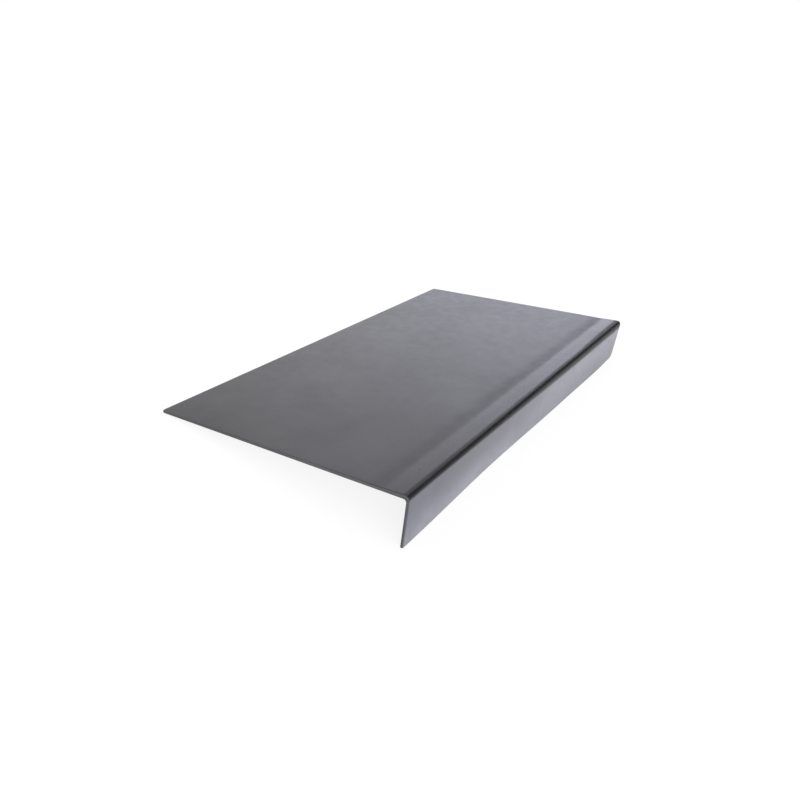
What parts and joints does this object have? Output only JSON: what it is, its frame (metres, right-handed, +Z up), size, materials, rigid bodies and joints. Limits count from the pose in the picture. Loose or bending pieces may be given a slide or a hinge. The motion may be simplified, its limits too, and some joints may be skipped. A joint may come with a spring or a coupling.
{
  "type": "rubber stair tread",
  "caption": "Flat rubber cover for one step, thinner towards the back, with a raised band, a rounded nose and a flap that hangs over the step's front.",
  "frame": {"origin": "on the floor that the tread lies on, at the centre of its outline", "axes": "+X along the nose, +Y from the nose towards the back edge, +Z up from the floor. The tread lies on the toe of its flap and on its back edge, so the sheet rises towards the nose."},
  "size_m": [0.561, 0.3098, 0.056],
  "materials": {
    "rubber": "satin"
  },
  "bodies": {
    "root": {"stair_tread": "rubber"}
  },
  "joints": []
}
